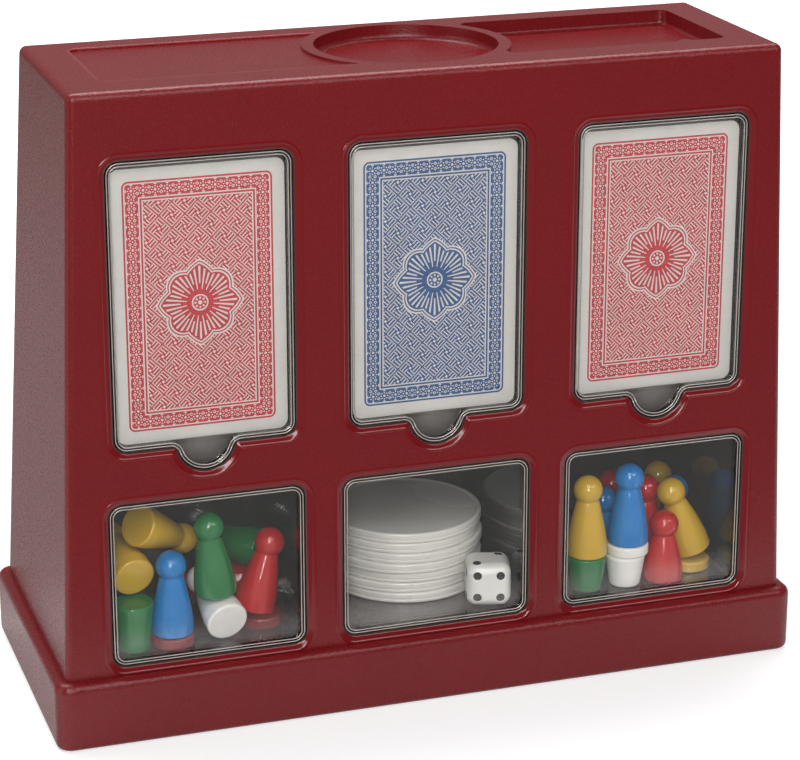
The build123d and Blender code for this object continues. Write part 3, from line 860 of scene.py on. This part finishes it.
def pawn_profile(height):
    """Half outline of a pawn in millimetres: rounded foot, side that leans in on an arc to
    the neck, and a round head whose centre is one head radius below the top."""
    foot, neck, head = PAWN_FOOT, 3.7, 4.95
    head_z = height - head
    neck_z = head_z - np.sqrt(head**2 - neck**2)
    low = (foot * 0.99, neck_z * 0.22)
    base = rounded_path([(0, 0), (foot, 0), low], [PAWN_EDGE], 7)
    side = arc_through(low, (foot * 0.80, neck_z * 0.62), (neck, neck_z), 26)
    turn = np.linspace(-np.arccos(neck / head), np.pi / 2, 34)[1:]
    ball = np.column_stack([head * np.cos(turn), head_z + head * np.sin(turn)])
    ball[-1, 0] = 0
    return np.concatenate([base[:-1], side, ball])


# degrees that a pawn leans from upright, and the bearing that it leans toward
PIECE_LEAN = {
    "left_white_pawn": (74, 98),
    "left_green_pawn_front": (5, 190),
    "left_red_pawn_front": (15, 0),
    "left_yellow_pawn_lower": (74, 98),
    "left_yellow_pawn_upper": (118, 32),
    "left_green_pawn_rear": (87, 143),
    "left_red_pawn_lying": (95, 168),
    "right_yellow_pawn_leaning": (21, 178),
}


def slot_finishes(look):
    """Material of each colour of loose piece, by record slot."""
    return {
        "piece_" + name: glossy_plastic(name + " plastic", tuple(getattr(look, name)))
        for name in ("yellow", "blue", "green", "red", "white")
    }


class CARDBOX_OT_pawns(bpy.types.Operator):
    """Turns the pawns as smooth surfaces of revolution in place of the coarser solids"""

    bl_idname = "cardbox.pawns"
    bl_label = "Pawns"

    def execute(self, context):
        look = context.scene.cardbox_pieces
        finishes = slot_finishes(look)
        for node in [name for name in NODES if "pawn" in name]:
            height = 24.5 if node == "right_red_pawn_front" else 28.0
            points, faces = turned(pawn_profile(height), look.sides)
            lean, toward = PIECE_LEAN.get(node, (0, 0))
            points = points @ (turn_about("Z", toward) @ turn_about("Y", lean)).T
            piece("turned_" + node, (on_node(points, node), faces), finishes[SLOT_OF[node]], node)
        others = [name for name in NODES if "pawn" not in name]
        flat_ended = [name for name in others if "counter" in name or "cone" in name]
        # painted shade: the red counters get a darker copy of the red plastic, as if in shadow
        shaded_red = glossy_plastic("red plastic with painted shade", tint(look.red, 0.42))
        for node in flat_ended:
            low, high = box_mm(node)
            height = high[2] - low[2]
            if "cone" in node:
                foot, crown, edge = 0.76 * PAWN_FOOT, PAWN_FOOT, PAWN_EDGE
            else:
                foot, crown, edge = 7.2, 7.2, 0.76
            corners = [(0, 0), (foot, 0), (crown, height), (0, height)]
            points, faces = turned(rounded_path(corners, [edge, edge]), look.sides)
            material = shaded_red if "red_counter" in node else finishes[SLOT_OF[node]]
            piece("turned_" + node, (on_node(points, node), faces), material, node)
        return {"FINISHED"}


class CARDBOX_OT_discs(bpy.types.Operator):
    """Turns the stack of flat discs, each with a raised lip round its face"""

    bl_idname = "cardbox.discs"
    bl_label = "Discs"

    def execute(self, context):
        look = context.scene.cardbox_pieces
        node = "middle_white_discs"
        thick, pitch, radius = 3.5, 3.55, 26.5
        corners = [
            (0, 0.3),
            (radius - 2.6, 0.3),
            (radius - 2.2, 0),
            (radius - 0.1, 0),
            (radius - 0.1, 1.05),
            (radius - 0.45, 1.25),
            (radius - 0.1, 1.5),
            (radius, thick),
            (radius - 1.4, thick),
            (radius - 1.9, thick - 0.25),
            (0, thick - 0.25),
        ]
        profile = rounded_path(corners, [0.2, 0.2, 0.55, 0.12, 0.12, 0.12, 0.75, 0.2, 0.2], 6)
        points, faces = turned(profile, 144)
        shifts = (0.3, -0.1), (-0.5, 0.4), (0.4, 0.2), (-0.3, -0.5), (0.5, -0.3), (-0.2, 0.3), (0.3, 0)
        stack = [(points + (*shift, n * pitch), faces) for n, shift in enumerate(shifts)]
        points, faces = joined(stack)
        material = glossy_plastic("ivory disc plastic", (0.74, 0.715, 0.675), 0.28, lump=0.02)
        piece("turned_discs", (on_node(points, node), faces), material, node)
        return {"FINISHED"}


def die_surface(steps):
    """Cube of 15 mm with rounded edges: a point on the flat cube keeps the part of it that
    lies in a smaller cube, and the rest is cut to the edge radius; corners are drawn in to
    a ball. Round pips sink into each face, and opposite faces add up to seven. Gives the
    points, the faces and each point's share of pip."""
    half, edge, ball, pip_radius, sink, s = 7.5, 3.6, 10.4, 1.5, 0.35, 3.9
    spots = {
        1: [(0, 0)],
        2: [(-s, -s), (s, s)],
        3: [(-s, -s), (0, 0), (s, s)],
        4: [(-s, -s), (-s, s), (s, -s), (s, s)],
        5: [(-s, -s), (-s, s), (0, 0), (s, -s), (s, s)],
        6: [(-s, -s), (-s, 0), (-s, s), (s, -s), (s, 0), (s, s)],
    }
    frames = {
        1: ((0, 1, 0), (0, 0, 1)),
        6: ((0, 0, 1), (0, 1, 0)),
        2: ((1, 0, 0), (0, 1, 0)),
        5: ((0, 1, 0), (1, 0, 0)),
        4: ((1, 0, 0), (0, 0, 1)),
        3: ((0, 0, 1), (1, 0, 0)),
    }
    line = np.linspace(-half, half, steps + 1)
    a, b = (grid.ravel() for grid in np.meshgrid(line, line, indexing="ij"))
    cell = (np.arange(steps)[:, None] * (steps + 1) + np.arange(steps)).ravel()
    square = np.column_stack([cell, cell + steps + 1, cell + steps + 2, cell + 1])
    sides, marks = [], []
    for number, (first, second) in frames.items():
        first, second = np.array(first), np.array(second)
        out = np.cross(first, second)
        flat = out * half + a[:, None] * first + b[:, None] * second
        core = np.clip(flat, edge - half, half - edge)
        rest = flat - core
        points = core + edge * rest / np.maximum(np.linalg.norm(rest, axis=1, keepdims=True), 1e-9)
        points *= np.minimum(1, ball / np.linalg.norm(points, axis=1, keepdims=True))
        near = np.min([np.hypot(a - x, b - y) for x, y in spots[number]], axis=0) / pip_radius
        share = np.clip((1.06 - near) / 0.16, 0, 1)
        share = share * share * (3 - 2 * share)
        points = points - out * sink * share[:, None] * (1 - 0.3 * np.clip(near, 0, 1)[:, None] ** 2)
        sides.append((points, square))
        marks.append(share)
    points, faces = joined(sides)
    marks = np.concatenate(marks)
    _, first_seen, place = np.unique(np.round(points, 5), axis=0, return_index=True, return_inverse=True)
    return points[first_seen], place.ravel()[faces], marks[first_seen]


class CARDBOX_OT_die(bpy.types.Operator):
    """Makes the die with rounded corners and sunk dark pips"""

    bl_idname = "cardbox.die"
    bl_label = "Die"

    def execute(self, context):
        node = "middle_die"
        points, faces, share = die_surface(84)
        points = points @ turn_about("Z", -16).T
        material = glossy_plastic("ivory die plastic", (0.78, 0.765, 0.73), 0.24, "pip")
        piece("pipped_die", (on_node(points, node), faces), material, node, {"pip": share})
        return {"FINISHED"}


# name, place, point it faces, size and power of each lamp
LAMPS = (
    ("key soft box by the camera", (-0.48, -1.44, 0.68), (0, 0, 0.1), (0.28, 0.80), 10.0),
    ("high soft box ahead", (-0.30, -1.02, 1.16), (0, 0, 0.1), (0.5, 0.4), 5.0),
    ("wide soft box to the right", (0.50, -1.16, 1.04), (0, 0, 0.1), (1.1, 0.28), 5.2),
    ("soft box above", (0, 0.45, 1.35), (0, 0, 0.15), (1.5, 0.7), 21.0),
    ("fill from the left", (-1.5, -0.1, 0.6), (0, 0, 0.1), (0.8, 0.8), 3.7),
)


class CARDBOX_OT_stage(bpy.types.Operator):
    """Sets the floor, the soft lamps, the sky and the camera"""

    bl_idname = "cardbox.stage"
    bl_label = "Stage"

    def floor(self):
        """Flat round floor: rings whose radius doubles from one to the next."""
        sides, count, inner, below = 96, 7, 0.25, 0.00005
        radius = np.concatenate([[0], inner * 2.0 ** np.arange(count)])[:, None]
        turn = np.arange(sides) * 2 * np.pi / sides
        level = 0 * radius * turn - below
        rings = np.stack([radius * np.cos(turn), radius * np.sin(turn), level], axis=-1)
        here = np.arange(sides)
        after = (here + 1) % sides
        rows = np.arange(count)[:, None] * sides
        outer = rows + sides
        quads = np.stack([rows + here, outer + here, outer + after, rows + after], axis=-1)
        mesh = bpy.data.meshes.new("studio_floor")
        mesh.from_pydata(rings.reshape(-1, 3).tolist(), [], quads.reshape(-1, 4).tolist())
        mesh.validate()
        made = bpy.data.objects.new("studio_floor", mesh)
        bpy.context.scene.collection.objects.link(made)
        finish = Finish("pale floor")
        across, back, _ = finish.millimetres()
        camera, through, glossy = finish.rays("Camera", "Transmission", "Glossy")

        # mirrored, the floor is dark a way ahead of the box, dim behind it and bright close to it
        tone = finish.blend(finish.noise(0.4, 2), (0.60, 0.60, 0.60), (0.62, 0.62, 0.62))
        ahead = finish.ramp(back, -134.0, -118.0, 0.9, 0.0)
        behind = finish.ramp(back, 40.0, 120.0, 0.0, 0.62)
        tone = finish.blend(glossy & (ahead | behind), tone, (0.14, 0.14, 0.14))
        near = glossy & finish.ramp(back, -124.0, -112.0, 0.0, 1.0) & (back < -50.0)
        tone = finish.blend(near, tone, (0.98, 0.98, 0.98))
        diffuse = finish.node("BsdfDiffuse")
        finish.feed(diffuse.inputs["Color"], tone)
        glow = finish.node("Emission")
        finish.feed(glow.inputs["Color"], (1, 1, 1, 1))
        far = finish.ramp(across.length(back), 250.0, 620.0, 0.48, 1.0)
        finish.feed(glow.inputs["Strength"], (camera | through) * far)
        add = finish.node("AddShader")
        finish.feed(add.inputs[0], diffuse.outputs[0])
        finish.feed(add.inputs[1], glow.outputs[0])
        finish.show(add.outputs[0])
        mesh.materials.append(finish.block)

    def lamp(self, name, place, target, size, energy):
        data = bpy.data.lights.new(name, "AREA")
        data.shape = "RECTANGLE"
        data.size, data.size_y = size
        data.energy = energy
        made = bpy.data.objects.new(name, data)
        made.location = place
        made.rotation_euler = (Vector(target) - Vector(place)).to_track_quat("-Z", "Y").to_euler()
        bpy.context.scene.collection.objects.link(made)

    def execute(self, context):
        look = context.scene.cardbox_stage
        scene = context.scene
        self.floor()
        for lamp in LAMPS:
            self.lamp(*lamp)

        # mirrored, the sky is dimmer in front of the box than behind it
        sky = Finish("plain sky", "worlds")
        camera, through, glossy = sky.rays("Camera", "Transmission", "Glossy")
        way = sky.node("SeparateXYZ")
        sky.feed(way.inputs[0], sky.place.node.outputs["Generated"])
        mirrored = sky.node("MapRange")
        dimmed = 0.3 * look.mirrored_sky
        limits = (-0.45, 0.15, dimmed, look.mirrored_sky)
        for socket, value in zip(mirrored.inputs, (way.outputs[1], *limits)):
            sky.feed(socket, value)
        light = glossy * (Term(sky, mirrored.outputs[0]) - look.sky) + look.sky
        back = sky.node("Background")
        sky.feed(back.inputs["Color"], (1, 1, 1, 1))
        sky.feed(back.inputs["Strength"], (camera | through).choose(1.0, light))
        sky.show(back.outputs[0], "OutputWorld")
        scene.world = sky.block

        data = bpy.data.cameras.new("front left camera")
        data.lens = look.lens
        data.sensor_width = 36
        data.clip_start, data.clip_end = 0.05, 30
        camera = bpy.data.objects.new("front left camera", data)
        camera.location = look.camera_place
        ahead = Vector(look.camera_target) - Vector(look.camera_place)
        camera.rotation_euler = ahead.to_track_quat("-Z", "Y").to_euler()
        scene.collection.objects.link(camera)
        scene.camera = camera
        scene.view_settings.view_transform = "Standard"
        return {"FINISHED"}


OPERATORS = (
    CARDBOX_OT_case,
    CARDBOX_OT_walls,
    CARDBOX_OT_trays,
    CARDBOX_OT_cards,
    CARDBOX_OT_pawns,
    CARDBOX_OT_discs,
    CARDBOX_OT_die,
    CARDBOX_OT_stage,
)
LOOKS = {
    "cardbox_case": CaseLook,
    "cardbox_cards": CardLook,
    "cardbox_pieces": PieceLook,
    "cardbox_stage": StageLook,
}


class CARDBOX_PT_sidebar(bpy.types.Panel):
    """Lists the steps that dress the box, each with the settings it reads"""

    bl_label = "Card Box"
    bl_idname = "CARDBOX_PT_sidebar"
    bl_space_type = "VIEW_3D"
    bl_region_type = "UI"
    bl_category = "Card Box"

    def draw(self, context):
        for operator in OPERATORS:
            self.layout.operator(operator.bl_idname)
        for key, look in LOOKS.items():
            column = self.layout.column()
            for name in look.__annotations__:
                column.prop(getattr(context.scene, key), name)


def register():
    for look in LOOKS.values():
        bpy.utils.register_class(look)
    for key, look in LOOKS.items():
        setattr(bpy.types.Scene, key, bpy.props.PointerProperty(type=look))
    for operator in OPERATORS:
        bpy.utils.register_class(operator)
    bpy.utils.register_class(CARDBOX_PT_sidebar)


def unregister():
    bpy.utils.unregister_class(CARDBOX_PT_sidebar)
    for operator in reversed(OPERATORS):
        bpy.utils.unregister_class(operator)
    for key, look in LOOKS.items():
        delattr(bpy.types.Scene, key)
        bpy.utils.unregister_class(look)


def main():
    register()
    for operator in OPERATORS:
        group, name = operator.bl_idname.split(".")
        getattr(getattr(bpy.ops, group), name)()


if __name__ == "__main__":
    main()
